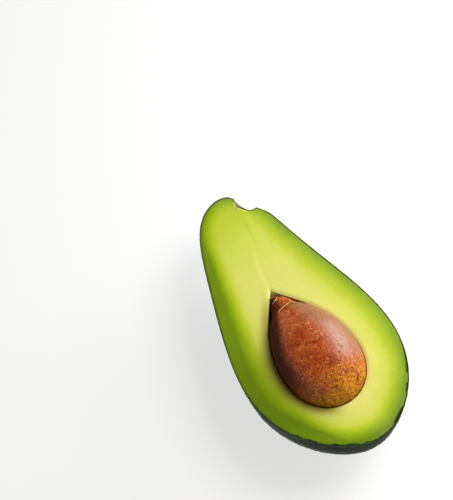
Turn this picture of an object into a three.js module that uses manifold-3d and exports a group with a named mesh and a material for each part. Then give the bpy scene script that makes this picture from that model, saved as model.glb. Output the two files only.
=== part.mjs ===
// One half of a ripe avocado, cut lengthwise round its seed and lying on its back: the skin,
// the flesh with the hollow that the seed sits in, and the seed itself.
//
// Millimetres. +Z is up and square to the cut face, +Y points to the stem end. The origin is
// the middle of the half's outline, seen from above, on the surface that it rests on.
import * as THREE from "three";
import { mergeVertices } from "three/addons/utils/BufferGeometryUtils.js";
import Module from "manifold-3d";

const wasm = await Module();
wasm.setup();

// The fruit. Each list is blended from the blossom end to the stem end: the bow is the
// sideways place of the fruit's core, and the two fullnesses give the half-width of the cut
// face and the depth of the back, once multiplied by the sine of the station's angle.
const LENGTH = 121.5;
const CORE_BOW = [2.4, -2.8, 2.7];
const SIDE_FULLNESS = [33, 41.4, 26.1, 16.1, 27];
const BACK_FULLNESS = [32, 34, 33, 26, 28];

// Below the cut the blossom end swells past the rim, to one side and endwards, and most at
// the swell's depth under the cut face. The swell dies out at its reach, a share of the length.
const SWELL = { x: -2.4, y: -1.1, depth: 8, reach: 0.6 };

// The back settles on a small flat spot, this much short of its full depth.
const FLAT_SPOT = 0.6;

// The pit that the stem left on the neck's shoulder: the middle of its floor, in the cut face,
// the angle that it faces from +X towards +Y, and its radius and depth.
const STEM_PIT = { x: 9.4, y: 51.7, facing: 0.572, radius: 4.9, depth: 2.55 };

const SKIN_THICKNESS = 0.8;
const GAP = 0.3;

// The hollow and the seed are drops turned about an axis in the cut face, from the round
// base to the pointed tip. Their fullness is blended as the fruit's is.
const HOLLOW = { base: [-0.1, -42.8], tip: [-0.6, 14], fullness: [19.1, 18.7, 13.8, 15.6, 1.4] };
const SEED = { base: [-0.1, -42.3], tip: [-0.6, 10.6], fullness: [18.3, 17.2, 14.9, 13.6, 6.3] };

const FRUIT_STATIONS = 52;
const FRUIT_STEPS_ROUND = 26;
const DROP_STATIONS = 30;
const DROP_STEPS_ROUND = 32;

// A Bernstein blend of the values, at the share t of the way from the first to the last.
function blend(values, t) {
  const last = values.length - 1;
  let weight = (1 - t) ** last;
  let sum = 0;
  values.forEach((value, i) => {
    sum += value * weight;
    weight *= ((last - i) / (i + 1)) * (t / (1 - t || 1));
  });
  return t === 1 ? values[last] : sum;
}

// The angles 0 to pi that a row of count steps is worked out at.
const halfTurn = (count) => Array.from({ length: count + 1 }, (_, i) => (Math.PI * i) / count);

// The share of the length reached at a station's angle, 0 at the blossom end or base.
const shareAt = (angle) => (1 - Math.cos(angle)) / 2;

const backDepth = (angle) => Math.sin(angle) * blend(BACK_FULLNESS, shareAt(angle));
const CUT_HEIGHT = Math.max(...halfTurn(720).map(backDepth)) - FLAT_SPOT;

// A point of the uncut outside: station runs from the blossom end to the stem end, and round
// from one edge of the cut face, under the back, to the other.
function outside(station, round) {
  const share = shareAt(station);
  const halfWidth = Math.sin(station) * blend(SIDE_FULLNESS, share);
  const depth = backDepth(station) * Math.sin(round);
  const towardsBlossomEnd = Math.max(0, 1 - share / SWELL.reach) ** 2;
  const belowCut = (depth / SWELL.depth) ** 2 * Math.exp(2 - (2 * depth) / SWELL.depth);
  const swell = towardsBlossomEnd * belowCut;
  return new THREE.Vector3(
    blend(CORE_BOW, share) + halfWidth * Math.cos(round) + SWELL.x * swell,
    LENGTH * (share - 0.5) + SWELL.y * swell,
    CUT_HEIGHT - depth,
  );
}

// The outward normal there, level along the rim so that every layer ends in the cut face.
function outwards(station, round) {
  const small = 1e-3;
  if (station < small) return new THREE.Vector3(0, -1, 0);
  if (station > Math.PI - small) return new THREE.Vector3(0, 1, 0);
  const along = outside(station + small, round).sub(outside(station - small, round));
  const across = outside(station, round + small).sub(outside(station, round - small));
  const normal = across.cross(along);
  if (round < small || round > Math.PI - small) normal.z = 0;
  return normal.normalize();
}

// What stands out past the pit is pushed back: inside its radius to the dish, whose height is
// the depth times the share of the radius to the fourth power, and outside it to the rim.
function pressPit(point, inset) {
  const toward = new THREE.Vector3(Math.cos(STEM_PIT.facing), Math.sin(STEM_PIT.facing), 0);
  const fromPit = point.clone().sub(new THREE.Vector3(STEM_PIT.x, STEM_PIT.y, CUT_HEIGHT));
  const height = fromPit.dot(toward);
  const beside = fromPit.clone().addScaledVector(toward, -height).length();
  const share = Math.min(1, beside / (STEM_PIT.radius + inset));
  const floor = STEM_PIT.depth * share ** 4 - inset;
  if (height > floor) point.addScaledVector(toward, floor - height);
}

// A point of the layer that lies inset under the outside, with the stem pit pressed into it
// and its lowest part flattened.
function layerPoint(station, round, inset) {
  const point = outside(station, round).addScaledVector(outwards(station, round), -inset);
  pressPit(point, inset);
  point.z = Math.max(point.z, inset);
  return point;
}

const layerRow = (station, inset) =>
  halfTurn(FRUIT_STEPS_ROUND).map((round) => layerPoint(station, round, inset));

// One closed surface through a list of closed rings. The first and the last ring may shrink
// to a point or a line, so triangles that collapse there are left out.
function surfaceThrough(rings) {
  const corners = [];
  const addTriangle = (...triangle) => {
    const collapsed = triangle.some((p, i) => p.distanceTo(triangle[(i + 1) % 3]) < 1e-3);
    if (!collapsed) triangle.forEach((p) => corners.push(p.x, p.y, p.z));
  };
  for (let i = 0; i + 1 < rings.length; i++) {
    rings[i].forEach((here, j) => {
      const beside = (j + 1) % rings[i].length;
      addTriangle(here, rings[i][beside], rings[i + 1][beside]);
      addTriangle(here, rings[i + 1][beside], rings[i + 1][j]);
    });
  }
  const geometry = new THREE.BufferGeometry();
  geometry.setAttribute("position", new THREE.Float32BufferAttribute(corners, 3));
  return mergeVertices(geometry, 1e-3);
}

// A drop turned about the line from its base to its tip, in the cut face.
function dropGeometry({ base, tip, fullness }) {
  const from = new THREE.Vector3(...base, CUT_HEIGHT);
  const to = new THREE.Vector3(...tip, CUT_HEIGHT);
  const axis = to.clone().sub(from);
  const sideways = new THREE.Vector3(axis.y, -axis.x, 0).normalize();
  const rings = halfTurn(DROP_STATIONS).map((station) => {
    const share = shareAt(station);
    const radius = Math.sin(station) * blend(fullness, share);
    const centre = from.clone().lerp(to, share);
    return Array.from({ length: DROP_STEPS_ROUND }, (_, j) => {
      const round = (2 * Math.PI * j) / DROP_STEPS_ROUND;
      const point = centre.clone().addScaledVector(sideways, radius * Math.cos(round));
      point.z -= radius * Math.sin(round);
      return point;
    });
  });
  return surfaceThrough(rings);
}

function solidOf(geometry) {
  return new wasm.Manifold(
    new wasm.Mesh({
      numProp: 3,
      vertProperties: geometry.getAttribute("position").array,
      triVerts: new Uint32Array(geometry.index.array),
    }),
  );
}

function geometryOf(solid) {
  const mesh = solid.getMesh();
  const geometry = new THREE.BufferGeometry();
  geometry.setAttribute("position", new THREE.BufferAttribute(mesh.vertProperties, 3));
  geometry.setIndex(new THREE.BufferAttribute(mesh.triVerts, 1));
  return geometry;
}

// The skin: the outside and, one thickness in, the inside, joined along the rim.
function skinGeometry() {
  return surfaceThrough(
    halfTurn(FRUIT_STATIONS).map((station) => [
      ...layerRow(station, 0),
      ...layerRow(station, SKIN_THICKNESS).reverse(),
    ]),
  );
}

// The flesh: all that the skin holds, less the hollow of the seed.
function fleshGeometry() {
  const inset = SKIN_THICKNESS + GAP;
  const whole = surfaceThrough(halfTurn(FRUIT_STATIONS).map((s) => layerRow(s, inset)));
  return geometryOf(solidOf(whole).subtract(solidOf(dropGeometry(HOLLOW))));
}

function piece(name, geometry, color, roughness) {
  geometry.computeVertexNormals();
  const material = new THREE.MeshStandardMaterial({ color, roughness, metalness: 0 });
  const mesh = new THREE.Mesh(geometry, material);
  mesh.name = name;
  return mesh;
}

const skin = piece("skin", skinGeometry(), 0x24331f, 0.42);
const flesh = piece("flesh", fleshGeometry(), 0xd3da58, 0.45);
const seed = piece("seed", dropGeometry(SEED), 0x8d4220, 0.4);

const half = new THREE.Group();
half.add(skin, flesh, seed);

skin.geometry.computeBoundingBox();
const middle = skin.geometry.boundingBox.getCenter(new THREE.Vector3());
half.position.set(-middle.x, -middle.y, 0);

export default half;
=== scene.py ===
"""Half an avocado, cut lengthwise and lying on its back: pebbled skin, buttery flesh and its seed."""
import itertools
from math import comb, cos, pi, radians, sin

import bpy
import numpy as np
from bpy.props import FloatProperty, FloatVectorProperty, PointerProperty
from mathutils import Matrix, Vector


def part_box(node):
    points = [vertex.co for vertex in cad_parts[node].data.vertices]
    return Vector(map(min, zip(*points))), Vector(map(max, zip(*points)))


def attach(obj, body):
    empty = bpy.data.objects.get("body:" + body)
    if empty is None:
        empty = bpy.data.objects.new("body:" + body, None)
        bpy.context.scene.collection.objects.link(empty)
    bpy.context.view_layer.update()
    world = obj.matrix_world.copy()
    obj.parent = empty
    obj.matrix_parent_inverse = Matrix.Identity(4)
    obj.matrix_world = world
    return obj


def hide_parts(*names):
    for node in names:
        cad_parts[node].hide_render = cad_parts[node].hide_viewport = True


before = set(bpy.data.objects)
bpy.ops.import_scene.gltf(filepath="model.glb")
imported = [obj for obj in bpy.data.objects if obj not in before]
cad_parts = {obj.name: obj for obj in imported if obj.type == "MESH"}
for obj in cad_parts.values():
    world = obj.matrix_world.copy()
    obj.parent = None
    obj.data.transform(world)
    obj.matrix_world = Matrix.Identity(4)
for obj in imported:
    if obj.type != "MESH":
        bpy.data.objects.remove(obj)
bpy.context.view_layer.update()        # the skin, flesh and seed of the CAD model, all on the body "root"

bl_info = {
    "name": "Avocado half",
    "version": (1, 0, 0),
    "blender": (4, 5, 0),
    "location": "View3D > Sidebar > Avocado",
    "description": "Builds the skin, the flesh and the seed of half an avocado",
    "category": "Add Mesh",
}

MM = 0.001
CUT_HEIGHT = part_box("skin")[1][2]

# The fruit, as the CAD model has it. Each list is blended from the blossom end to the stem
# end: the bow is the sideways place of the core, and the two fullnesses give the half-width
# of the cut face and the depth of the back, once multiplied by the sine of the station.
LENGTH = 121.5 * MM
CORE_BOW = np.array([2.4, -2.8, 2.7]) * MM
SIDE_FULLNESS = np.array([33, 41.4, 26.1, 16.1, 27]) * MM
BACK_FULLNESS = np.array([32, 34, 33, 26, 28]) * MM

# Below the cut the blossom end swells past the rim, most at this depth under the cut face.
SWELL = np.array([-2.4, -1.1]) * MM
SWELL_DEPTH = 8 * MM
SWELL_REACH = 0.6

# The pit that the stem left on the shoulder: the middle of its floor, in the cut face, the
# angle that it faces from +X towards +Y, and its radius and depth.
STEM_PIT = np.array([9.4, 51.7]) * MM
STEM_PIT_FACING = 0.572
STEM_PIT_RADIUS = 4.9 * MM
STEM_PIT_DEPTH = 2.55 * MM

# The hollow and the seed: drops turned about an axis in the cut face, from base to tip.
HOLLOW = {
    "base": np.array([-0.1, -42.8]) * MM,
    "tip": np.array([-0.6, 14]) * MM,
    "fullness": np.array([19.1, 18.7, 13.8, 15.6, 1.4]) * MM,
}
SEED = {
    "base": np.array([-0.1, -42.3]) * MM,
    "tip": np.array([-0.6, 10.6]) * MM,
    "fullness": np.array([18.3, 17.2, 14.9, 13.6, 6.3]) * MM,
}


# ---------------------------------------------------------------- random fields in space


def lattice_numbers(cells, seed):
    """Three numbers from 0 to 1 for each cell of a lattice: what is left after the point of a
    large multiple of the sine of a mix of the cell's coordinates."""
    mix = np.array([[127.1, 269.5, 113.5], [311.7, 183.3, 271.9], [74.7, 246.1, 124.6]])
    return np.modf(np.abs(np.sin(cells @ mix + seed) * 43758.5453))[0]


def smooth_noise(points, size, seed):
    """From -1 to 1: a random number at each corner of a lattice of that size, blended between
    the corners with the smooth step 6f^5 - 15f^4 + 10f^3."""
    scaled = points / size
    low = np.floor(scaled)
    share = scaled - low
    share = share**3 * (share * (share * 6 - 15) + 10)
    total = np.zeros(points.shape[:-1])
    for corner in itertools.product((0, 1), repeat=3):
        corner = np.array(corner)
        weight = np.prod(np.where(corner, share, 1 - share), axis=-1)
        total += weight * lattice_numbers(low + corner, seed)[..., 0]
    return total * 2 - 1


def layered_noise(points, size, seed, layers=3):
    """Smooth noise of that size plus layers each half as large and half as strong."""
    return sum(smooth_noise(points, size / 2**i, seed + i) / 2**i for i in range(layers))


def cell_distances(points, size, seed):
    """The distances, in lattice sides, from each point to the nearest and to the second nearest
    of a scatter of centres, one in each cube of the lattice."""
    scaled = points / size
    home = np.floor(scaled)
    first = np.full(points.shape[:-1], 9.0)
    second = first.copy()
    for step in itertools.product((-1, 0, 1), repeat=3):
        cube = home + np.array(step)
        centre = cube + 0.1 + 0.8 * lattice_numbers(cube, seed)
        away = np.linalg.norm(scaled - centre, axis=-1)
        second = np.minimum(second, np.maximum(first, away))
        first = np.minimum(first, away)
    return first, second


def smooth_step(value, start, end):
    """0 up to start, 1 from end on, and the cubic 3f^2 - 2f^3 between."""
    share = np.clip((value - start) / (end - start), 0, 1)
    return share * share * (3 - 2 * share)


# ---------------------------------------------------------------- shape of the fruit


def blend(values, share):
    """A Bernstein blend: each value times the binomial weight that the share gives it."""
    last = len(values) - 1
    return sum(
        comb(last, i) * share**i * (1 - share) ** (last - i) * value
        for i, value in enumerate(values)
    )


def share_at(station):
    """The share of the length reached at a station's angle, from 0 to 1."""
    return (1 - np.cos(station)) / 2


def fruit_outside(station, around):
    """The smooth outside. Across, core bow plus half-width times the cosine of around; down,
    depth times its sine; along, the share of the length. The swell then moves the blossom end
    by (d/D)^2 e^(2-2d/D) at the depth d, D being the swell's own depth."""
    share = share_at(station)
    depth = np.sin(station) * blend(BACK_FULLNESS, share) * np.sin(around)
    below_cut = (depth / SWELL_DEPTH) ** 2 * np.exp(2 - 2 * depth / SWELL_DEPTH)
    swell = np.clip(1 - share / SWELL_REACH, 0, 1) ** 2 * below_cut
    half_width = np.sin(station) * blend(SIDE_FULLNESS, share)
    x = blend(CORE_BOW, share) + half_width * np.cos(around) + SWELL[0] * swell
    y = LENGTH * (share - 0.5) + SWELL[1] * swell
    return np.stack([x, y + 0 * depth, CUT_HEIGHT - depth], axis=-1)


def fruit_outwards(station, around):
    """Unit normals of the smooth outside: the cross product of its two slopes, made level
    along the rim and turned along the fruit at its two ends."""
    small = 1e-4
    along = fruit_outside(station + small, around) - fruit_outside(station - small, around)
    across = fruit_outside(station, around + small) - fruit_outside(station, around - small)
    normal = np.cross(across, along)
    at_rim = (around < small) | (around > pi - small)
    normal[..., 2] = np.where(at_rim, 0, normal[..., 2])
    at_end = (station < small) | (station > pi - small)
    endwards = np.array([0, 1, 0]) * np.where(station > pi / 2, 1, -1)[..., None]
    normal = np.where(at_end[..., None], endwards, normal)
    return normal / np.linalg.norm(normal, axis=-1, keepdims=True)


def pit_place(points):
    """How far points stand out over the middle of the stem pit's floor, how far they are beside
    it, and the direction that the pit faces."""
    toward = np.array([cos(STEM_PIT_FACING), sin(STEM_PIT_FACING), 0])
    away = points - np.array([*STEM_PIT, CUT_HEIGHT])
    height = away @ toward
    return height, np.linalg.norm(away - height[..., None] * toward, axis=-1), toward


def press_stem_pit(points, inset):
    """What stands out past the pit is pushed back: inside its radius to the dish, whose height
    is the depth times the share of the radius to the fourth power, and outside it to the rim,
    which is blended into the shoulder. The lower of two heights is blended as
    (a + b - root of ((a - b)^2 + k^2)) / 2."""
    height, beside, toward = pit_place(points)
    share = np.minimum(1, beside / (STEM_PIT_RADIUS + inset))
    floor = STEM_PIT_DEPTH * share**4 - inset
    soft = 0.5 * MM * smooth_step(beside, STEM_PIT_RADIUS, 1.5 * STEM_PIT_RADIUS)
    lower = (height + floor - np.sqrt((height - floor) ** 2 + soft**2)) / 2
    far = smooth_step(beside, 2 * STEM_PIT_RADIUS, 3 * STEM_PIT_RADIUS)
    return points + toward * ((lower - height) * (1 - far))[..., None]


def fruit_layer(station, around, inset, relief=0):
    """The layer that lies inset under the outside, raised by the relief, with the stem pit
    pressed in and the lowest part flattened."""
    outwards = fruit_outwards(station, around)
    lift = np.asarray(relief - inset)[..., None]
    points = press_stem_pit(fruit_outside(station, around) + outwards * lift, inset)
    points[..., 2] = np.maximum(points[..., 2], np.min(inset))
    return points


def even_stations(count, around):
    """The angles of count + 1 stations that are evenly spaced along one lengthwise line."""
    fine = np.linspace(0, pi, 4001)
    line = fruit_outside(fine, np.full(fine.shape, around))
    steps = np.linalg.norm(np.diff(line, axis=0), axis=1)
    travelled = np.concatenate([[0], np.cumsum(steps)])
    return np.interp(np.linspace(0, travelled[-1], count + 1), travelled, fine)


def outline_centre():
    """The middle of the outline seen from above, which the row frame has at x = y = 0."""
    station, around = np.meshgrid(np.linspace(0, pi, 400), np.linspace(0, pi, 100), indexing="ij")
    points = fruit_layer(station, around, 0.0).reshape(-1, 3)
    middle = (points.min(axis=0) + points.max(axis=0)) / 2
    return np.array([middle[0], middle[1], 0])


def drop_point(drop, station, around):
    """A drop's surface: along the axis by the share of its length, and out from the axis by the
    sine of the station times the blended fullness."""
    share = share_at(station)
    radius = np.sin(station) * blend(drop["fullness"], share)
    axis = drop["tip"] - drop["base"]
    sideways = np.array([axis[1], -axis[0]]) / np.linalg.norm(axis)
    plan = drop["base"] + axis * share[..., None] + sideways * (radius * np.cos(around))[..., None]
    return np.concatenate([plan, (CUT_HEIGHT - radius * np.sin(around))[..., None]], axis=-1)


def drop_depth(drop, plan):
    """How deep under the cut face a drop reaches below points of the cut face: the root of its
    radius squared less the distance to the axis squared."""
    axis = drop["tip"] - drop["base"]
    length = np.linalg.norm(axis)
    away = plan - drop["base"]
    share = np.clip(away @ axis / length**2, 0, 1)
    beside = (away[..., 0] * axis[1] - away[..., 1] * axis[0]) / length
    radius = 2 * np.sqrt(share * (1 - share)) * blend(drop["fullness"], share)
    return np.sqrt(np.clip(radius**2 - beside**2, 0, None))


# ---------------------------------------------------------------- meshes


def closed_mesh(name, rings, values=()):
    """A mesh through rings of equally many points, each ring closed on itself. Points that
    fall together, as a ring that shrinks to a point does, are joined, and triangles that
    collapse there are left out. The values are per-point attributes."""
    ring_count, step_count = rings.shape[:2]
    index = np.arange(ring_count * step_count).reshape(ring_count, step_count)
    here, beside = index, np.roll(index, -1, axis=1)
    corners = [here[:-1], beside[:-1], beside[1:], here[1:]]
    a, b, c, d = (corner.ravel() for corner in corners)
    triangles = np.concatenate([np.stack([a, b, c], axis=1), np.stack([a, c, d], axis=1)])
    points = rings.reshape(-1, 3)
    keys = np.round(points / (0.002 * MM)).astype(np.int64)
    _, kept, joined = np.unique(keys, axis=0, return_index=True, return_inverse=True)
    triangles = joined.ravel()[triangles]
    whole = (triangles != np.roll(triangles, 1, axis=1)).all(axis=1)
    mesh = bpy.data.meshes.new(name)
    mesh.from_pydata(points[kept] - CENTRE, [], triangles[whole])
    for key, value in dict(values).items():
        attribute = mesh.attributes.new(key, "FLOAT", "POINT")
        attribute.data.foreach_set("value", value.reshape(-1)[kept].astype(np.float32))
    mesh.shade_smooth()
    mesh.set_sharp_from_angle(angle=radians(55))
    piece = bpy.data.objects.new(name, mesh)
    bpy.context.scene.collection.objects.link(piece)
    return piece


def join_up(piece, material, node):
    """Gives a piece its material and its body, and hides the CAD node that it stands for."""
    piece.data.materials.append(material)
    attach(piece, "root")
    if node:
        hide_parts(node)


CENTRE = outline_centre()

# ---------------------------------------------------------------- the skin

SKIN_STATIONS = 350
SKIN_STEPS_OUTSIDE = 236
SKIN_STEPS_INSIDE = 24

# The relief grows from this share of its height at the rim to all of it, up to this sine of
# the angle round the fruit. The nicks of the cut edge reach down to the other sine.
RIM_RELIEF = 0.35
RIM_FADE = 0.03
NICK_REACH = 0.05

# How far the skin is taken in on the right side.
RIM_TRIM = 0.3 * MM


def pebble_height(points, size):
    """From 0 in the creases to 1 on the tops: rounded cells, taller at their middles, of a
    scatter whose places are stirred by a smooth noise."""
    stirred = points + 0.45 * size * np.stack(
        [smooth_noise(points, size * 1.4, seed) for seed in (5.1, 6.2, 7.3)], axis=-1
    )
    first, second = cell_distances(stirred, size, 2.7)
    return smooth_step(second - first, 0, 0.5) * (1.15 - 0.55 * first)


def skin_relief(points, size, height):
    """How far the skin stands out: pebbles that come and go, fine grain, and slow dents."""
    strength = 0.7 + 0.45 * smooth_noise(points, 9 * MM, 11.0)
    pebbles = pebble_height(points, size)
    grain = layered_noise(points, 0.9 * MM, 21.0)
    dents = smooth_noise(points, 16 * MM, 31.0)
    relief = height * (strength * (pebbles - 0.5) + 0.2 * grain) + 0.22 * MM * dents
    return relief, pebbles


def trim(points):
    """How far the right side of the rim is taken in, smoothly across the fruit."""
    return RIM_TRIM * smooth_step(points[..., 0], 0, 15 * MM)


def ragged_edge(points):
    """How much the knife took off the skin's inner edge, from 0 to 1: torn nicks that grow
    towards the blossom end, and none on the rest of the rim."""
    nicks = smooth_step(layered_noise(points, 3.4 * MM, 41.0), -0.3, 0.8)
    return nicks * smooth_step(-points[..., 1], 28 * MM, 48 * MM)


def make_skin(shape):
    """One closed grid of rings across the fruit: each runs round the outside from edge to
    edge of the cut face, and back round the inside."""
    stations = even_stations(SKIN_STATIONS, pi / 2)
    outer = np.linspace(0, pi, SKIN_STEPS_OUTSIDE + 1)
    inner = np.linspace(pi, 0, SKIN_STEPS_INSIDE + 1)
    station, around = np.meshgrid(stations, outer, indexing="ij")
    smooth = fruit_outside(station, around)
    relief, pebbles = skin_relief(smooth, shape.pebble_size, shape.pebble_height)
    calm = RIM_RELIEF + (1 - RIM_RELIEF) * smooth_step(np.sin(around), 0, RIM_FADE)
    outside = fruit_layer(station, around, trim(smooth), relief * calm)
    station, around = np.meshgrid(stations, inner, indexing="ij")
    smooth = fruit_outside(station, around)
    nick = ragged_edge(smooth) * (np.sin(around) < NICK_REACH)
    inset = shape.skin_thickness + trim(smooth) + shape.nick_depth * nick
    inside = fruit_layer(station, around, inset)
    height, beside, _ = pit_place(outside)
    in_pit = 1 - smooth_step(beside, 0.8 * STEM_PIT_RADIUS, 1.1 * STEM_PIT_RADIUS)
    in_pit = in_pit * (height > -4 * MM)
    level = np.full(inside.shape[:2], 0.5)
    values = {
        "pebble": np.concatenate([pebbles, level], axis=1),
        "inward": np.concatenate([0 * pebbles, 0 * level + 1], axis=1),
        "stem_pit": np.concatenate([in_pit, 0 * level], axis=1),
    }
    return closed_mesh("avocado_skin", np.concatenate([outside, inside], axis=1), values)


# ---------------------------------------------------------------- the flesh

FLESH_STEPS_ROUND = 480
FLESH_RINGS = {"back": 28, "face": 76, "hollow": 36}
FLESH_HEART = np.array([-0.3, -19]) * MM

# The flesh lies this far under the skin at the rim, and further under it on the back.
RIM_GAP = 0.04 * MM
BACK_GAP = 0.3 * MM

# The cut face falls off by these depths over these widths, at its rim and at the hollow's lip,
# where the right side falls off more.
RIM_ROUNDING = 0.12 * MM
RIM_ROUNDING_WIDTH = 0.8 * MM
LIP_ROUNDING = 0.12 * MM
LIP_ROUNDING_RIGHT = 0.34 * MM
LIP_ROUNDING_WIDTH = 1.5 * MM


def fruit_place(plan):
    """The station and the angle around of the outside under points of the cut face: the
    formula of the outside, turned round."""
    share = np.clip(plan[..., 1] / LENGTH + 0.5, 0, 1)
    station = np.arccos(1 - 2 * share)
    half_width = np.sin(station) * blend(SIDE_FULLNESS, share)
    beside = plan[..., 0] - blend(CORE_BOW, share)
    return station, np.arccos(np.clip(beside / np.maximum(half_width, 0.001 * MM), -1, 1))


def bearing(plan):
    """The direction, as an angle, of points of the cut face from the flesh's heart."""
    away = plan - FLESH_HEART
    return np.arctan2(away[..., 1], away[..., 0])


def outline_distance(plan, outline):
    """The distance from each point to the nearest point of a closed outline, itself divided
    finely."""
    onward = np.roll(outline, -1, axis=0) - outline
    dense = np.concatenate([outline + onward * i / 4 for i in range(4)])
    rows = [np.linalg.norm(row[:, None] - dense[None], axis=-1).min(axis=1) for row in plan]
    return np.array(rows)


def strand_line():
    """Points there and back along the strand that runs from the stem pit to the hollow's tip."""
    turns = np.array([[9.6, 51], [8, 41], [0, 30], [0.5, 22], [-1, 14]]) * MM
    share = np.linspace(0, 1, 90)
    line = np.stack([blend(turns[:, 0], share), blend(turns[:, 1], share)], axis=-1)
    return np.concatenate([line, line[::-1]])


def flesh_rim():
    """The stations and angles of points spaced along the rim, one way round from the blossom
    end, along the right edge first."""
    half = FLESH_STEPS_ROUND // 2
    right = even_stations(half, 0.0)[:-1]
    left = even_stations(half, pi)[:0:-1]
    return np.concatenate([right, left]), np.concatenate([np.zeros(half), np.full(half, pi)])


def hollow_rim(toward):
    """The hollow's outline at the bearings of other points."""
    station = np.linspace(0, pi, 1500)
    sides = [drop_point(HOLLOW, station, np.full(station.shape, side))[:, :2] for side in (0, pi)]
    outline = np.concatenate(sides)
    reach = np.linalg.norm(outline - FLESH_HEART, axis=1)
    angle = bearing(toward)
    distance = np.interp(angle, bearing(outline), reach, period=2 * pi)
    return FLESH_HEART + np.stack([np.cos(angle), np.sin(angle)], axis=-1) * distance[:, None]


def face_height(plan, from_skin, from_hollow, right_side):
    """The height of the cut face: knife waves and a fine grain, less the square of the share of
    each rounding's width that is left to the edge."""
    flat = np.concatenate([plan, np.zeros(plan.shape[:2] + (1,))], axis=-1)
    waves = 0.1 * MM * smooth_noise(flat, 11 * MM, 51.0)
    waves = np.minimum(waves + 0.012 * MM * layered_noise(flat, 1.6 * MM, 52.0), 0.12 * MM)
    rounding = RIM_ROUNDING * (1 - smooth_step(from_skin, 0, RIM_ROUNDING_WIDTH)) ** 2
    lip = LIP_ROUNDING + LIP_ROUNDING_RIGHT * right_side
    lip = lip * (1 - np.clip(from_hollow / LIP_ROUNDING_WIDTH, 0, 1)) ** 2
    return CUT_HEIGHT + waves * smooth_step(from_skin, 0, 3 * MM) - rounding - lip


def near_pit(face):
    """From 0 to 1, how near points of the cut face are to the dish of the stem pit."""
    above, beside, _ = pit_place(face)
    under_dish = STEM_PIT_DEPTH * np.minimum(1, beside / STEM_PIT_RADIUS) ** 4 - above
    near = 1 - smooth_step(under_dish, 0.5 * MM, 1.5 * MM)
    return near * (1 - smooth_step(beside, 0.95 * STEM_PIT_RADIUS, 1.15 * STEM_PIT_RADIUS))


def make_flesh(shape):
    """Rings one after the other: up the back to the rim, over its soft edge and inwards across
    the cut face, and down the wall of the hollow. Below the face, a ring lies at a share of the
    way from the heart to the rim, and as deep as the fruit or the hollow is there."""
    station, around = flesh_rim()
    base_rim = fruit_outside(station, around)
    inset = shape.skin_thickness + RIM_GAP
    nick = shape.nick_depth * ragged_edge(base_rim)
    rim = fruit_layer(station, around, inset + trim(base_rim) + nick)[:, :2]
    mouth = hollow_rim(base_rim[:, :2])

    reach = np.sin(np.linspace(0, pi / 2, FLESH_RINGS["back"] + 1))[:-1, None, None]
    plan = FLESH_HEART + (base_rim[:, :2] - FLESH_HEART) * reach
    back = fruit_layer(*fruit_place(plan), inset + BACK_GAP)

    inwards = (1 - np.cos(np.linspace(0, pi, FLESH_RINGS["face"] + 1)))[:, None, None] / 2
    plan = rim + (mouth - rim) * inwards
    from_skin = outline_distance(plan, base_rim[:, :2])
    from_skin = np.maximum(from_skin - inset - trim(plan), 0)
    from_strand = outline_distance(plan, strand_line())
    from_hollow = outline_distance(plan, mouth)
    right_side = smooth_step(plan[..., 0], -3 * MM, 4 * MM)
    height = face_height(plan, from_skin, from_hollow, right_side)
    face = np.concatenate([plan, height[..., None]], axis=-1)

    reach = np.cos(np.linspace(0, pi / 2, FLESH_RINGS["hollow"] + 1))[1:, None, None]
    plan = FLESH_HEART + (mouth - FLESH_HEART) * reach
    depth = drop_depth(HOLLOW, plan)
    wall = np.concatenate([plan, (CUT_HEIGHT - np.maximum(depth, 0.5 * MM))[..., None]], axis=-1)

    strand = np.exp(-((from_strand / (0.8 * MM)) ** 2))
    on_back, on_wall = np.zeros(back.shape[:2]), np.zeros(depth.shape)
    values = {
        "pit_lip": np.concatenate([on_back, near_pit(face), on_wall]),
        "strand": np.concatenate([on_back, strand, on_wall]),
        "right_side": np.concatenate([on_back, right_side, on_wall]),
        "from_skin": np.concatenate([on_back, from_skin, on_wall + 16 * MM]) / MM,
        "from_hollow": np.concatenate([on_back + 20 * MM, from_hollow, -depth]) / MM,
    }
    return closed_mesh("avocado_flesh", np.concatenate([back, face, wall]), values)


# ---------------------------------------------------------------- the seed

SEED_STATIONS = 240
SEED_STEPS_ROUND = 380

# Towards its tip the seed narrows to a beak and its upper half sinks: each share is reached
# smoothly between two places along the fruit.
BEAK_NARROWING = (0.2, -2 * MM, 4 * MM)
SHOULDER_SINKING = ((0.34, -16 * MM, 0), (0.14, -2 * MM, 3 * MM))

# How far the coat stands out over the drop of the CAD model, so that it all but touches the
# hollow's wall.
COAT_THICKNESS = 0.2 * MM


def grid_normals(points):
    """Unit normals of a grid that closes on itself along its second axis: the cross product of
    its two central differences."""
    along = np.gradient(points, axis=0)
    across = np.roll(points, -1, axis=1) - np.roll(points, 1, axis=1)
    normal = np.cross(across, along)
    return normal / np.maximum(np.linalg.norm(normal, axis=-1, keepdims=True), 1e-12)


def seed_outside(station, around):
    """The drop with a shoulder: towards the tip its radius falls smoothly to a beak's, and its
    upper half is lowered."""
    points = drop_point(SEED, station, around)
    along = points[..., 1:2]
    middle = (drop_point(SEED, station, 0 * around) + drop_point(SEED, station, 0 * around + pi)) / 2
    narrowing, start, end = BEAK_NARROWING
    points = middle + (points - middle) * (1 - narrowing * smooth_step(along, start, end))
    height = points[..., 2:] - CUT_HEIGHT
    kept = 1 - sum(share * smooth_step(along, start, end) for share, start, end in SHOULDER_SINKING)
    points[..., 2:] = CUT_HEIGHT + np.where(height > 0, height * kept, height)
    return points


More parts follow.
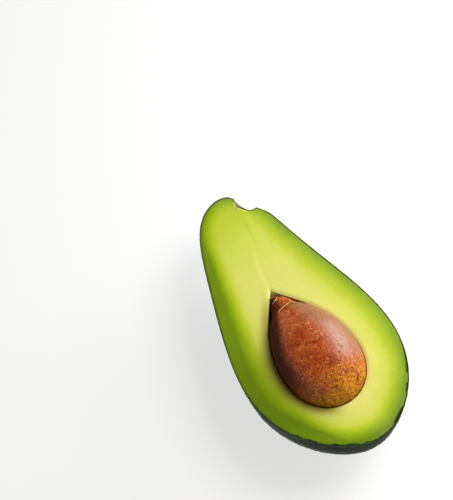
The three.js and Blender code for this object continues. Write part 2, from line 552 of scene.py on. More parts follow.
def seed_relief(points, base_share):
    """The coat's relief over its thickness: slow lumps, fine wrinkles, and deeper crumples where
    the coat is loose at the base."""
    lumps = layered_noise(points, 11 * MM, 61.0, 2)
    wrinkles = -np.abs(layered_noise(points * np.array([1, 0.8, 1]), 1.7 * MM, 62.0))
    crumples = -np.abs(layered_noise(points, 2.8 * MM, 64.0)) * base_share
    return COAT_THICKNESS + MM * (0.17 * lumps + 0.1 * wrinkles + 0.4 * crumples)


def seed_masks(smooth, station, around):
    """Where each mark of the coat shows, from 0 to 1: loose at the base, painted shade low on the
    left flank and at the very tip, painted bounce light that makes the left half red, bared at the
    beak, and polished on the right, where a painted sheen also lies."""
    share = share_at(station)
    along = smooth[..., 1]
    rightness = np.cos(around)
    # Painted shade: low on the left flank, on the beak's left side and at the very tip.
    flank_shade_share = smooth_step(0.28 * smooth_step(share, 0.4, 0.8) - rightness, 0.6, 0.88)
    flank_shade_share = flank_shade_share * smooth_step(share, 0.1, 0.4)
    # Painted light: the rest of the left half is brightened to red, as by light bounced from the flesh.
    red = smooth_step(-rightness, -0.1, 0.5) * (1 - flank_shade_share)
    beak = smooth_step(along, 1.5 * MM, 3.5 * MM)
    flank_shade_share = np.maximum(flank_shade_share, beak * smooth_step(-rightness, -0.1, 0.3))
    flank_shade_share = np.maximum(flank_shade_share, smooth_step(along, 7 * MM, 9 * MM))
    # The right flank is glossy, and the material also paints a sheen there.
    polished = smooth_step(rightness, 0.05, 0.6) * smooth_step(share, 0.12, 0.3) * (1 - beak)
    base = 1 - smooth_step(share, 0.02, 0.25)
    return {"base": base, "flank_shade_share": flank_shade_share, "red": red, "beak": beak, "polished": polished}


def make_seed():
    """The drop's own grid, closed at the base and the tip, moved along its normals."""
    stations = np.linspace(0, pi, SEED_STATIONS + 1)
    turns = np.linspace(0, 2 * pi, SEED_STEPS_ROUND + 1)[:-1]
    station, around = np.meshgrid(stations, turns, indexing="ij")
    smooth = seed_outside(station, around)
    masks = seed_masks(smooth, station, around)
    relief = seed_relief(smooth, masks["base"]) * smooth_step(np.sin(station), 0, 0.08)
    rings = smooth + grid_normals(smooth) * relief[..., None]
    return closed_mesh("avocado_seed", rings, masks)


# ---------------------------------------------------------------- the fibres

# Dried strands over the hollow's tip: the points that each one is blended from, in millimetres
# across, along and above the cut face.
FIBRES = (
    ((-3.3, 10.5, 0.0), (-2.3, 10.4, 0.4), (-1.6, 10.0, 1.1), (-0.9, 9.6, 1.3), (0.5, 9.3, 0.8)),
    ((-3.3, 7.2, 1.0), (-2.4, 7.5, 1.7), (-1.5, 7.7, 2.2), (-0.8, 7.9, 2.2), (0.5, 9.3, 0.8)),
    ((-3.5, 1.8, 3.6), (-2.2, 2.3, 4.1), (-0.9, 2.9, 3.9), (1.0, 2.9, 3.5), (2.8, 3.4, 2.8)),
    ((2.8, 3.4, 2.8), (3.1, 3.8, 2.7), (3.2, 4.3, 2.6), (3.1, 4.8, 2.4), (2.9, 5.4, 2.1)),
    ((2.8, 3.4, 2.8), (3.6, 2.8, 2.9), (4.5, 1.4, 3.4), (5.6, 1.0, 2.8), (7.2, 0.2, 1.8)),
)
FIBRE_STEPS_ALONG = 36
FIBRE_STEPS_ROUND = 8


def make_fibre(name, turns, radius):
    """A thin strand along a blend of points. Its rings stand square to the path, and their
    radius is the root of 1 - t^8, t running from -1 to 1 along it, so that both ends close."""
    share = np.linspace(0, 1, FIBRE_STEPS_ALONG + 1)
    turns = np.array(turns) * MM
    path = np.stack([blend(turns[:, axis], share) for axis in range(3)], axis=-1)
    path[:, 2] += CUT_HEIGHT
    along = np.gradient(path, axis=0)
    along /= np.linalg.norm(along, axis=1, keepdims=True)
    side = np.cross(along, [0, 0, 1])
    side /= np.linalg.norm(side, axis=1, keepdims=True)
    over = np.cross(side, along)
    angle = np.linspace(0, 2 * pi, FIBRE_STEPS_ROUND + 1)[:-1]
    width = radius * np.sqrt(np.clip(1 - np.abs(2 * share - 1) ** 8, 0, 1)) * (1.1 - 0.4 * share)
    ring = side[:, None] * np.cos(angle)[:, None] + over[:, None] * np.sin(angle)[:, None]
    return closed_mesh(name, path[:, None] + ring * width[:, None, None])


# ---------------------------------------------------------------- materials


def srgb(red, green, blue):
    """A colour given as screen values from 0 to 255, made linear."""
    values = np.array([red, green, blue]) / 255
    return tuple(np.where(values < 0.04045, values / 12.92, ((values + 0.055) / 1.055) ** 2.4))


def feed(tree, node, inputs):
    """Links each of a node's named or numbered inputs to a socket, or sets it to a value."""
    for name, value in inputs.items():
        if isinstance(value, bpy.types.NodeSocket):
            tree.links.new(value, node.inputs[name])
        else:
            node.inputs[name].default_value = value


def add_node(tree, kind, inputs=(), **settings):
    """A new node with its settings and its inputs."""
    node = tree.nodes.new(kind)
    for name, value in settings.items():
        setattr(node, name, value)
    feed(tree, node, dict(inputs))
    return node


def math_node(tree, operation, first, second=0.0):
    """The result of one sum on two numbers."""
    return add_node(tree, "ShaderNodeMath", {0: first, 1: second}, operation=operation).outputs[0]


def times(tree, first, *others):
    """The product of two or more numbers."""
    for other in others:
        first = math_node(tree, "MULTIPLY", first, other)
    return first


def ramp_to(tree, value, start, end, low=0.0, high=1.0):
    """A smooth step of the value, from low at start to high at end."""
    inputs = {"Value": value, "From Min": start, "From Max": end, "To Min": low, "To Max": high}
    node = add_node(tree, "ShaderNodeMapRange", inputs, interpolation_type="SMOOTHSTEP")
    return node.outputs["Result"]


def mix_colors(tree, share, first, second):
    """Two colours mixed by a share."""
    ends = [end if isinstance(end, bpy.types.NodeSocket) else (*end, 1) for end in (first, second)]
    inputs = {0: share, 6: ends[0], 7: ends[1]}
    return add_node(tree, "ShaderNodeMix", inputs, data_type="RGBA").outputs[2]


def darker(color, share):
    """A colour with only a share of its light."""
    return share * np.array(color)


def attribute(tree, name):
    """A per-point value of the mesh."""
    return add_node(tree, "ShaderNodeAttribute", attribute_name=name).outputs["Fac"]


def noise(tree, position, per_metre, detail=3.0, roughness=0.55):
    """A noise texture's value at a position, with so many features to the metre."""
    inputs = {"Vector": position, "Scale": per_metre, "Detail": detail, "Roughness": roughness}
    return add_node(tree, "ShaderNodeTexNoise", inputs).outputs["Fac"]


def new_group(name, inputs, outputs):
    """An empty node group and its input and output nodes. The inputs are given as names with
    their socket kind and default, and the outputs as names with their kind."""
    tree = bpy.data.node_groups.new(name, "ShaderNodeTree")
    for label, (kind, default) in inputs.items():
        socket = tree.interface.new_socket(label, in_out="INPUT", socket_type=kind)
        if default is not None:
            socket.default_value = default
    for label, kind in outputs.items():
        tree.interface.new_socket(label, in_out="OUTPUT", socket_type=kind)
    return tree, tree.nodes.new("NodeGroupInput").outputs, tree.nodes.new("NodeGroupOutput").inputs


def mottle_group():
    """Blotches of a skin, a coat or flesh: slow patches and a finer grain, stretched about 0.5."""
    inputs = {
        "Position": ("NodeSocketVector", None),
        "Per Metre": ("NodeSocketFloat", 100.0),
        "Contrast": ("NodeSocketFloat", 1.0),
    }
    tree, given, result = new_group("Mottle", inputs, {"Value": "NodeSocketFloat"})
    slow = noise(tree, given["Position"], given["Per Metre"], 2.0)
    fine = noise(tree, given["Position"], times(tree, given["Per Metre"], 6.5), 4.0, 0.7)
    both = math_node(tree, "ADD", times(tree, slow, 0.6), times(tree, fine, 0.4))
    stretched = times(tree, math_node(tree, "SUBTRACT", both, 0.5), given["Contrast"], 2.6)
    tree.links.new(math_node(tree, "ADD", stretched, 0.5), result["Value"])
    return tree


def fleck_group():
    """Small round flecks scattered one to a cell, on only some of the cells: a mask."""
    inputs = {
        "Position": ("NodeSocketVector", None),
        "Per Metre": ("NodeSocketFloat", 300.0),
        "Size": ("NodeSocketFloat", 0.15),
        "Share": ("NodeSocketFloat", 0.5),
    }
    tree, given, result = new_group("Flecks", inputs, {"Mask": "NodeSocketFloat"})
    wobble = noise(tree, given["Position"], times(tree, given["Per Metre"], 3.0), 2.0)
    place = {"Vector": given["Position"], "Scale": given["Per Metre"]}
    cells = add_node(tree, "ShaderNodeTexVoronoi", place).outputs
    ragged = math_node(tree, "ADD", cells["Distance"], times(tree, wobble, 0.14))
    inner = times(tree, given["Size"], 0.6)
    fall = {"Value": ragged, "From Min": inner, "From Max": given["Size"], "To Min": 1.0, "To Max": 0.0}
    dot = add_node(tree, "ShaderNodeMapRange", fall).outputs["Result"]
    chosen = add_node(tree, "ShaderNodeSeparateColor", {"Color": cells["Color"]}).outputs["Red"]
    kept = math_node(tree, "LESS_THAN", chosen, given["Share"])
    tree.links.new(times(tree, dot, kept), result["Mask"])
    return tree


def mottle(tree, position, per_metre, contrast):
    """The blotches placed in a material. Their group is made the first time."""
    group = bpy.data.node_groups.get("Mottle") or mottle_group()
    inputs = {"Position": position, "Per Metre": per_metre, "Contrast": contrast}
    return add_node(tree, "ShaderNodeGroup", inputs, node_tree=group).outputs[0]


def flecks(tree, position, per_metre, size, share):
    """The flecks placed in a material. Their group is made the first time."""
    group = bpy.data.node_groups.get("Flecks") or fleck_group()
    inputs = {"Position": position, "Per Metre": per_metre, "Size": size, "Share": share}
    return add_node(tree, "ShaderNodeGroup", inputs, node_tree=group).outputs[0]


def start_material(name):
    """A new material with its tree, its shader and the position on the piece."""
    material = bpy.data.materials.new(name)
    material.use_nodes = True
    tree = material.node_tree
    shader = tree.nodes["Principled BSDF"]
    return material, tree, shader, add_node(tree, "ShaderNodeTexCoord").outputs["Object"]


def bump(tree, shader, height, distance, strength=1.0):
    """Feeds the shader's normal with a bump of so many metres."""
    inputs = {"Height": height, "Distance": distance, "Strength": strength}
    feed(tree, shader, {"Normal": add_node(tree, "ShaderNodeBump", inputs).outputs["Normal"]})


def skin_material(colors):
    """Dark green leathery skin: painted shade that darkens the creases between the pebbles, slow
    mottling and pale flecks; a pale green cut edge; brown cork in the stem's pit."""
    material, tree, shader, position = start_material("avocado_skin")
    patches = mottle(tree, position, per_metre=70.0, contrast=1.1)
    lightness = ramp_to(tree, patches, 0.15, 0.9)
    green = mix_colors(tree, lightness, colors.skin_dark, colors.skin_light)
    # Painted shade: the skin is darkened in the creases between the pebbles.
    creases = ramp_to(tree, attribute(tree, "pebble"), 0.0, 0.55, 0.62, 0.0)
    green = mix_colors(tree, creases, green, darker(colors.skin_dark, 0.45))
    pale = flecks(tree, position, per_metre=330.0, size=0.2, share=0.3)
    green = mix_colors(tree, times(tree, pale, 0.75), green, colors.skin_fleck)
    edge = ramp_to(tree, attribute(tree, "inward"), 0.3, 1.0, 0.0, 0.6)
    green = mix_colors(tree, edge, green, colors.skin_edge)
    cork_tone = mottle(tree, position, per_metre=450.0, contrast=1.4)
    cork = mix_colors(tree, cork_tone, colors.cork_dark, colors.cork_light)
    pit = attribute(tree, "stem_pit")
    dull = ramp_to(tree, patches, 0.0, 1.0, 0.4, 0.52)
    feed(tree, shader, {
        "Base Color": mix_colors(tree, pit, green, cork),
        "Roughness": math_node(tree, "ADD", dull, times(tree, pit, 0.35)),
        "Specular IOR Level": 0.16,
    })
    bump(tree, shader, noise(tree, position, 1500.0, 3.0), 0.12 * MM, 0.7)
    return material


# Colours of the flesh by the distance from the skin, in millimetres.
FLESH_BANDS = (
    (0.0, (108, 132, 14)),
    (0.8, (120, 148, 10)),
    (2.2, (138, 163, 14)),
    (4.0, (160, 181, 28)),
    (6.0, (178, 192, 50)),
    (8.0, (194, 202, 78)),
    (11.0, (203, 205, 97)),
    (15.0, (209, 206, 112)),
)


def flesh_bands(tree, position, place):
    """The flesh's colour by its depth from the skin: blurred by streaks, less deep at the blossom end
    and on the left, where the shift is partly a broader green ring and partly painted shade, and
    on the neck never deeper than a limit."""
    streaks = mottle(tree, position, per_metre=110.0, contrast=1.0)
    blur = times(tree, math_node(tree, "SUBTRACT", streaks, 0.5), 1.1)
    from_skin = attribute(tree, "from_skin")
    near_skin = ramp_to(tree, from_skin, 3.5, 8.0, 1.0, 0.0)
    blossom_end = times(tree, ramp_to(tree, place["Y"], -34 * MM, -56 * MM, 0.0, 1.5), near_skin)
    neck_limit = ramp_to(tree, place["Y"], 2 * MM, 58 * MM, 14.0, 5.8)
    # Partly painted shade: on the left the bands move towards the seed, so the left flesh is greener and
    # darker.
    left_side = ramp_to(tree, place["X"], -7 * MM, -20 * MM, 0.0, 4.8)
    depth = math_node(tree, "ADD", from_skin, blur)
    depth = math_node(tree, "SUBTRACT", depth, blossom_end)
    depth = math_node(tree, "MINIMUM", depth, neck_limit)
    depth = math_node(tree, "SUBTRACT", depth, left_side)
    deepest = FLESH_BANDS[-1][0]
    ramp = add_node(tree, "ShaderNodeValToRGB", {0: math_node(tree, "DIVIDE", depth, deepest)})
    stops = ramp.color_ramp.elements
    for _ in FLESH_BANDS[2:]:
        stops.new(0.5)
    for stop, (distance, color) in zip(stops, FLESH_BANDS):
        stop.position = distance / deepest
        stop.color = (*srgb(*color), 1)
    return ramp.outputs["Color"]


def face_marks(tree, place, color, colors):
    """Marks of the cut face over its colour: the lip of the hollow, with a painted cream highlight on
    the right and the seed's painted shadow on the left, the strand from the stem, the stem pit's lip
    and a painted pale sheen along the right rim."""
    from_hollow = attribute(tree, "from_hollow")
    right_side = attribute(tree, "right_side")
    # Painted highlight: the hollow's lip is made cream on its right side. The same cream marks the strand
    # below.
    lip = times(tree, ramp_to(tree, from_hollow, 0.0, 1.3, 0.6, 0.0), right_side)
    color = mix_colors(tree, lip, color, colors.lip_highlight_and_strand)
    # Painted shadow of the seed: the flesh along the hollow's left side is darkened towards brown.
    left_side = ramp_to(tree, place["X"], -2 * MM, -9 * MM)
    lip_shadow_share = times(tree, ramp_to(tree, from_hollow, 0.0, 4.6, 0.72, 0.0), left_side)
    color = mix_colors(tree, lip_shadow_share, color, colors.flesh_shadow)
    strand_end = ramp_to(tree, place["Y"], 38 * MM, 22 * MM)
    strand = times(tree, attribute(tree, "strand"), strand_end, 0.22)
    color = mix_colors(tree, strand, color, colors.lip_highlight_and_strand)
    color = mix_colors(tree, times(tree, attribute(tree, "pit_lip"), 0.9), color, colors.pit_lip)
    # Painted sheen: the flesh near the right rim is paled.
    rim_sheen_share = ramp_to(tree, attribute(tree, "from_skin"), 9.0, 2.0, 0.0, 0.08)
    return mix_colors(tree, times(tree, rim_sheen_share, right_side), color, colors.flesh_sheen)


def hollow_marks(tree, position, place, color, colors):
    """The wall of the hollow over its colour: blotches of coat, and a dark painted shade that is deep
    on the right and starts near the lip on the left."""
    from_hollow = attribute(tree, "from_hollow")
    blotches = mottle(tree, position, per_metre=260.0, contrast=1.4)
    under_lip = ramp_to(tree, from_hollow, -2.0, -0.5, 1.0, 0.0)
    tanned = times(tree, ramp_to(tree, blotches, 0.0, 1.0, 0.55, 1.0), under_lip)
    color = mix_colors(tree, tanned, color, colors.hollow_wall)
    left_side = ramp_to(tree, place["X"], -2 * MM, 1.2 * MM, 1.0, 0.0)
    left_wall = times(tree, left_side, ramp_to(tree, from_hollow, -0.9, -0.1, 1.0, 0.0))
    # Painted shade: the deep part of the hollow and its left wall are darkened nearly to black.
    deep = ramp_to(tree, from_hollow, -4.2, -2.2, 1.0, 0.0)
    deep_shade_share = times(tree, math_node(tree, "MAXIMUM", deep, left_wall), 0.95)
    return mix_colors(tree, deep_shade_share, color, colors.hollow_dark_shade)


def flesh_material(colors):
    """Buttery flesh: green bands under the skin that pale towards the seed, the marks of the
    cut face, and a tanned wall of the hollow with remains of the seed's coat."""
    material, tree, shader, position = start_material("avocado_flesh")
    place = add_node(tree, "ShaderNodeSeparateXYZ", {0: position}).outputs
    color = flesh_bands(tree, position, place)
    color = face_marks(tree, place, color, colors)
    color = hollow_marks(tree, position, place, color, colors)
    feed(tree, shader, {
        "Base Color": color,
        "Roughness": 0.42,
        "Specular IOR Level": 0.2,
        "Subsurface Weight": 0.2,
        "Subsurface Radius": (1.0, 0.9, 0.25),
        "Subsurface Scale": 1.8 * MM,
    })
    bump(tree, shader, noise(tree, position, 900.0, 3.0), 0.04 * MM, 0.5)
    return material


# The pale flecks' pattern is moved by this, so that it doesn't fall on the pits' cells.
FLECK_SHIFT = (0.31, 0.17, 0.23)


def coat_browns(tree, position, blotches, colors):
    """The coat's colour: red-brown and mottled darker, brightened to red on the left half by painted
    bounce light, and golden where it is loose at the base. Also the lumps and the golden patches' noise."""
    brown = mix_colors(tree, ramp_to(tree, blotches, 0.1, 0.75), colors.seed_dark, colors.seed_main)
    brown = mix_colors(tree, ramp_to(tree, blotches, 0.65, 1.1, 0.0, 0.6), brown, colors.seed_light)
    # Painted light: the left half is brightened to red, as by light bounced from the flesh.
    brown = mix_colors(tree, times(tree, attribute(tree, "red"), 0.6), brown, colors.seed_bounce_glow)
    lumps = mottle(tree, position, per_metre=430.0, contrast=1.3)
    brown = mix_colors(tree, ramp_to(tree, lumps, 0.2, 0.6, 0.5, 0.0), brown, colors.seed_dark)
    patches = mottle(tree, position, per_metre=210.0, contrast=1.6)
    gold = times(tree, attribute(tree, "base"), ramp_to(tree, patches, 0.1, 0.55, 0.25, 1.0))
    return mix_colors(tree, gold, brown, colors.seed_gold), lumps, patches


def coat_specks(tree, position, pits, lumps, brown, colors):
    """Dark pits, pale flecks on the lighter lumps, and a fine dark grain."""
    brown = mix_colors(tree, times(tree, pits, 0.7), brown, colors.seed_pit)
    elsewhere = add_node(tree, "ShaderNodeVectorMath", {0: position, 1: FLECK_SHIFT}, operation="ADD")
    elsewhere = elsewhere.outputs["Vector"]
    pale = flecks(tree, elsewhere, per_metre=900.0, size=0.46, share=0.6)
    pale = times(tree, pale, ramp_to(tree, lumps, 0.35, 0.8, 0.0, 0.9))
    brown = mix_colors(tree, pale, brown, colors.seed_fleck)
    grain = ramp_to(tree, noise(tree, position, 1300.0, 3.0, 0.7), 0.38, 0.55, 0.6, 0.0)
    return mix_colors(tree, grain, brown, colors.seed_pit)


def seed_material(colors):
    """A thin papery coat with pits and flecks, with a painted sheen where it is polished on the right,
    bared at the beak, and darkened by painted shade low on the left."""
    material, tree, shader, position = start_material("avocado_seed")
    blotches = mottle(tree, position, per_metre=150.0, contrast=1.35)
    pits = flecks(tree, position, per_metre=950.0, size=0.4, share=0.5)
    brown, lumps, patches = coat_browns(tree, position, blotches, colors)
    brown = coat_specks(tree, position, pits, lumps, brown, colors)
    polished = attribute(tree, "polished")
    # Painted sheen: the polished right flank is mixed towards a pale pinkish brown.
    coat_sheen_share = times(tree, polished, ramp_to(tree, blotches, -0.1, 0.8, 0.55, 0.85))
    brown = mix_colors(tree, coat_sheen_share, brown, colors.seed_sheen)
    bare = times(tree, attribute(tree, "beak"), ramp_to(tree, patches, 0.2, 0.8, 0.1, 0.85))
    brown = mix_colors(tree, bare, brown, colors.seed_beak)
    # Painted shade: the coat is darkened low on the left flank and at the tip, and made rougher there.
    flank_shade_share = times(tree, attribute(tree, "flank_shade_share"), 0.85)
    rough = ramp_to(tree, blotches, 0.0, 1.0, 0.42, 0.55)
    feed(tree, shader, {
        "Base Color": mix_colors(tree, flank_shade_share, brown, colors.seed_flank_shade),
        "Roughness": math_node(tree, "ADD", rough, times(tree, flank_shade_share, 0.5)),
        "Specular IOR Level": 0.35,
        "Coat Weight": times(tree, polished, ramp_to(tree, blotches, 0.0, 0.8, 0.3, 0.5)),
        "Coat Roughness": 0.42,
        "Coat IOR": 1.7,
    })
    ridges = math_node(tree, "SUBTRACT", noise(tree, position, 1100.0, 4.0, 0.65), pits)
    bump(tree, shader, ridges, 0.22 * MM, 0.9)
    return material


def fibre_material(colors):
    """Pale dried strands, browner in places."""
    material, tree, shader, position = start_material("avocado_fibre")
    tone = ramp_to(tree, noise(tree, position, 700.0, 2.0), 0.35, 0.65)
    color = mix_colors(tree, tone, darker(colors.fibre, 0.6), colors.fibre)
    feed(tree, shader, {"Base Color": color, "Roughness": 0.6})
    return material


def floor_material(color, glow):
    """A matt light table: part of its light is its own, which keeps the shadow pale."""
    material, tree, shader, position = start_material("floor")
    grain = noise(tree, position, 60.0, 2.0)
    matt = darker(color, 1 - glow)
    feed(tree, shader, {
        "Base Color": mix_colors(tree, grain, darker(matt, 0.985), matt),
        "Roughness": 0.8,
        "Specular IOR Level": 0.1,
        "Emission Color": (*color, 1),
        "Emission Strength": glow,
    })
    return material


# ---------------------------------------------------------------- settings


def color_property(name, description, color):
    """A colour setting with a linear default."""
    return FloatVectorProperty(
        name=name, description=description, subtype="COLOR", size=3, min=0, max=1, default=srgb(*color)
    )


def power_property(name, description, default):
    """A light's power in watts."""
    return FloatProperty(name=name, description=description, default=default, min=0, unit="POWER")


def size_property(name, description, default):
    """A length setting in metres."""
    return FloatProperty(
        name=name, description=description, default=default, min=0, precision=5,
        unit="LENGTH", subtype="DISTANCE",
    )


class AvocadoShape(bpy.types.PropertyGroup):
    """Sizes that a user may change without leaving the CAD model's box."""

    skin_thickness: size_property("Skin thickness", "Thickness of the cut edge of the skin", 0.4 * MM)
    nick_depth: size_property("Nick depth", "Deepest nick in the skin's cut edge", 0.75 * MM)
    fibre_radius: size_property("Fibre radius", "Radius of the strands at the hollow's tip", 0.13 * MM)
    pebble_size: size_property("Pebble size", "Usual distance between two pebbles of the skin", 1.9 * MM)
    pebble_height: size_property("Pebble height", "Height of a pebble over its creases", 0.26 * MM)


class AvocadoColors(bpy.types.PropertyGroup):
    """Colours of the skin, the flesh and the seed."""

    skin_dark: color_property("Skin, dark", "Darker green of the skin", (26, 42, 16))
    skin_light: color_property("Skin, light", "Lighter green of the skin", (50, 72, 28))
    skin_fleck: color_property("Skin flecks", "Small pale flecks on the skin", (132, 148, 84))
    skin_edge: color_property("Skin edge", "Inner side of the skin's cut edge", (74, 100, 22))
    cork_dark: color_property("Cork, dark", "Creases of the cork in the stem's pit", (74, 56, 32))
    cork_light: color_property("Cork, light", "Cork in the stem's pit", (160, 134, 84))
    # Cream for the painted highlight on the hollow's right lip, and for the strand from the stem.
    lip_highlight_and_strand: color_property("Hollow's lip", "Lip of the hollow in the flesh", (240, 232, 150))
    # A painted sheen colour for the flesh along the right rim.
    flesh_sheen: color_property("Pale flesh", "Painted pale sheen along the right side of the rim", (178, 180, 140))
    # A painted shadow colour: the seed's shade on the flesh along the hollow's left side.
    flesh_shadow: color_property("Seed's shadow", "Painted shadow of the seed along the hollow's left side", (150, 128, 52))
    pit_lip: color_property("Stem pit's lip", "Lip of the flesh at the stem's pit", (246, 250, 120))
    hollow_wall: color_property("Hollow's wall", "Coat left on the wall of the hollow", (168, 92, 22))
    # A painted shade colour for the deepest part of the hollow and its left wall.
    hollow_dark_shade: color_property("Hollow's shade", "Painted shade in the deepest part of the hollow and on its left wall", (38, 22, 6))
    fibre: color_property("Fibres", "Dried strands across the hollow's tip", (232, 196, 132))
    seed_dark: color_property("Seed, dark", "Dark blotches of the seed's coat", (142, 48, 6))
    seed_main: color_property("Seed", "Main colour of the seed's coat", (178, 84, 28))
    # A painted light colour: the seed's left half brightened to red, as by light bounced from the flesh.
    seed_bounce_glow: color_property("Seed, red", "Seed's coat on its left half", (228, 108, 44))
    seed_light: color_property("Seed, light", "Light blotches of the seed's coat", (206, 120, 58))
    seed_beak: color_property("Seed's beak", "Bared tip of the seed", (146, 80, 14))
    # A painted shade colour for the seed's low left flank and its tip.
    seed_flank_shade: color_property("Seed, shade", "Painted shade low on the seed's left flank and at its tip", (66, 10, 0))
    seed_gold: color_property("Seed, gold", "Loose coat at the seed's base", (212, 136, 14))
    seed_pit: color_property("Seed pits", "Dark pits of the seed's coat", (96, 24, 2))
    seed_fleck: color_property("Seed flecks", "Pale flecks of the seed's coat", (232, 170, 122))
    # A painted sheen colour for the seed's right flank.
    seed_sheen: color_property("Seed's sheen", "Painted sheen on the seed's polished right flank", (132, 84, 52))


class AvocadoStage(bpy.types.PropertyGroup):
    """The floor and the lights."""

    floor_size: size_property("Floor size", "Side of the square floor", 6.0)
    floor_color: color_property("Floor colour", "Colour of the floor", (252, 252, 251))
    floor_glow: FloatProperty(
        name="Floor's glow", description="Share of the floor's light that is its own",
        default=0.7, min=0, max=1, subtype="FACTOR",
    )
    key_power: power_property("Key light", "Power of the main soft light", 2.05)
    side_power: power_property("Side light", "Power of the low light", 2.6)
    sky_strength: FloatProperty(
        name="Sky", description="Strength of the light from all round", default=0.15, min=0
    )


# ---------------------------------------------------------------- operators


class AVOCADO_OT_stage(bpy.types.Operator):
    """Add the camera, the lights and a plain floor"""

    bl_idname = "avocado.add_stage"
    bl_label = "Add stage"

    def execute(self, context):
        settings = context.scene.avocado_stage
        add_camera(context.scene)
        add_floor(settings)
        add_lights(context.scene, settings)
        return {"FINISHED"}


class AVOCADO_OT_skin(bpy.types.Operator):
    """Add the pebbled skin"""

    bl_idname = "avocado.add_skin"
    bl_label = "Add skin"

    def execute(self, context):
        piece = make_skin(context.scene.avocado_shape)
        join_up(piece, skin_material(context.scene.avocado_colors), "skin")
        return {"FINISHED"}


class AVOCADO_OT_flesh(bpy.types.Operator):
    """Add the flesh with its hollow"""

    bl_idname = "avocado.add_flesh"
    bl_label = "Add flesh"

    def execute(self, context):
        piece = make_flesh(context.scene.avocado_shape)
        join_up(piece, flesh_material(context.scene.avocado_colors), "flesh")
        return {"FINISHED"}


class AVOCADO_OT_seed(bpy.types.Operator):
    """Add the seed in its coat"""

    bl_idname = "avocado.add_seed"
    bl_label = "Add seed"

    def execute(self, context):
        piece = make_seed()
        join_up(piece, seed_material(context.scene.avocado_colors), "seed")
        return {"FINISHED"}


class AVOCADO_OT_fibres(bpy.types.Operator):
    """Add the dried strands over the hollow's tip"""

    bl_idname = "avocado.add_fibres"
    bl_label = "Add fibres"

    def execute(self, context):
        material = fibre_material(context.scene.avocado_colors)
        radius = context.scene.avocado_shape.fibre_radius
        for number, turns in enumerate(FIBRES, 1):
            piece = make_fibre(f"avocado_fibre_{number}", turns, radius)
            join_up(piece, material, None)
        return {"FINISHED"}


# ---------------------------------------------------------------- stage

CAMERA_AZIMUTH = radians(-11.2)
CAMERA_ELEVATION = radians(60.3)
CAMERA_ROLL = radians(-21.8)
CAMERA_DISTANCE = 0.55
CAMERA_LENS = 100
CAMERA_AIM = (-5.7 * MM, 39.1 * MM, CUT_HEIGHT)

# The soft lights: azimuth and elevation in degrees, distance, width and height in metres.
KEY_LIGHT = (80, 55, 0.45, 0.24, 0.24)
SIDE_LIGHT = (98, 17, 0.45, 0.4, 0.2)


def look_frame(azimuth, elevation, roll):
    """The right, up and backward directions of a camera that looks down at an elevation from
    an azimuth, measured from -Y towards +X, and is rolled about its line of sight."""
    back = np.array([sin(azimuth) * cos(elevation), -cos(azimuth) * cos(elevation), sin(elevation)])
    right = np.cross([0, 0, 1], back)
    right /= np.linalg.norm(right)
    up = np.cross(back, right)
    return right * cos(roll) + up * sin(roll), up * cos(roll) - right * sin(roll), back


def place_at(thing, position, right, up, back):
    """Places an object with its X to the right, its Y up and its Z backwards."""
    matrix = Matrix.Identity(4)
    for column, axis in enumerate((right, up, back, position)):
        for row in range(3):
            matrix[row][column] = axis[row]
    thing.matrix_world = matrix


def add_camera(scene):
    """The camera, high over the blossom end and rolled, with the half in the frame's corner."""
    lens = bpy.data.cameras.new("camera")
    lens.lens = CAMERA_LENS
    lens.clip_start = 0.01
    camera = bpy.data.objects.new("camera", lens)
    scene.collection.objects.link(camera)
    right, up, back = look_frame(CAMERA_AZIMUTH, CAMERA_ELEVATION, CAMERA_ROLL)
    place_at(camera, np.array(CAMERA_AIM) + back * CAMERA_DISTANCE, right, up, back)
    scene.camera = camera


def add_floor(settings):
    """A flat square floor that the half lies on."""
    side = settings.floor_size / 2
    mesh = bpy.data.meshes.new("floor")
    corners = [(-side, -side, 0), (side, -side, 0), (side, side, 0), (-side, side, 0)]
    mesh.from_pydata(corners, [], [(0, 1, 2, 3)])
    floor = bpy.data.objects.new("floor", mesh)
    mesh.materials.append(floor_material(tuple(settings.floor_color), settings.floor_glow))
    bpy.context.scene.collection.objects.link(floor)


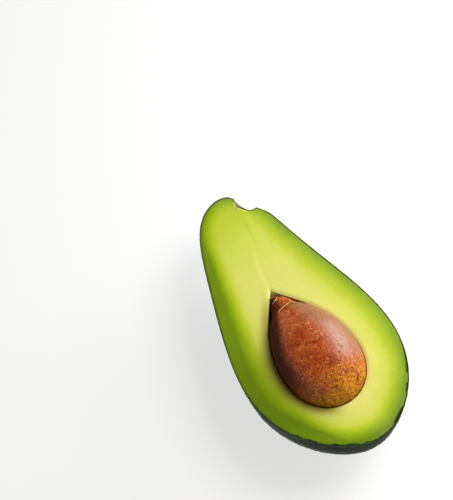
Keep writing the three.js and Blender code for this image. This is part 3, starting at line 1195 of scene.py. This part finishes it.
def add_softbox(name, azimuth, elevation, distance, width, height, power):
    """A soft light that faces the half, from an azimuth measured as the camera's is."""
    light = bpy.data.lights.new(name, "AREA")
    light.shape = "RECTANGLE"
    light.size = width
    light.size_y = height
    light.energy = power
    box = bpy.data.objects.new(name, light)
    bpy.context.scene.collection.objects.link(box)
    right, up, back = look_frame(radians(azimuth), radians(elevation), 0)
    place_at(box, np.array([0, 0, CUT_HEIGHT]) + back * distance, right, up, back)
    return box


def add_lights(scene, settings):
    """A soft key light high on the right, a low one on the right, and sky. Only the low one
    makes a sheen, because the key light isn't seen in reflections."""
    key = add_softbox("key_light", *KEY_LIGHT, settings.key_power)
    key.visible_glossy = False
    add_softbox("side_light", *SIDE_LIGHT, settings.side_power)
    world = bpy.data.worlds.new("sky")
    world.use_nodes = True
    background = world.node_tree.nodes["Background"]
    feed(world.node_tree, background, {"Color": (1, 1, 1, 1), "Strength": settings.sky_strength})
    scene.world = world
    scene.view_settings.view_transform = "Standard"


# ---------------------------------------------------------------- panel and registration


class AVOCADO_PT_panel(bpy.types.Panel):
    """Settings and buttons for the avocado half"""

    bl_idname = "AVOCADO_PT_panel"
    bl_label = "Avocado half"
    bl_space_type = "VIEW_3D"
    bl_region_type = "UI"
    bl_category = "Avocado"

    def draw(self, context):
        scene = context.scene
        for settings in (scene.avocado_shape, scene.avocado_colors, scene.avocado_stage):
            box = self.layout.box()
            for name in settings.__annotations__:
                box.prop(settings, name)
        for operator in OPERATORS:
            self.layout.operator(operator.bl_idname)


SETTINGS = {"avocado_shape": AvocadoShape, "avocado_colors": AvocadoColors, "avocado_stage": AvocadoStage}
OPERATORS = (AVOCADO_OT_stage, AVOCADO_OT_skin, AVOCADO_OT_flesh, AVOCADO_OT_seed, AVOCADO_OT_fibres)
CLASSES = (*SETTINGS.values(), *OPERATORS, AVOCADO_PT_panel)


def register():
    for item in CLASSES:
        bpy.utils.register_class(item)
    for name, group in SETTINGS.items():
        setattr(bpy.types.Scene, name, PointerProperty(type=group))


def unregister():
    for name in SETTINGS:
        delattr(bpy.types.Scene, name)
    for item in reversed(CLASSES):
        bpy.utils.unregister_class(item)


def main():
    """Builds the half and its stage."""
    register()
    bpy.ops.avocado.add_stage()
    bpy.ops.avocado.add_skin()
    bpy.ops.avocado.add_flesh()
    bpy.ops.avocado.add_seed()
    bpy.ops.avocado.add_fibres()


if __name__ == "__main__":
    main()
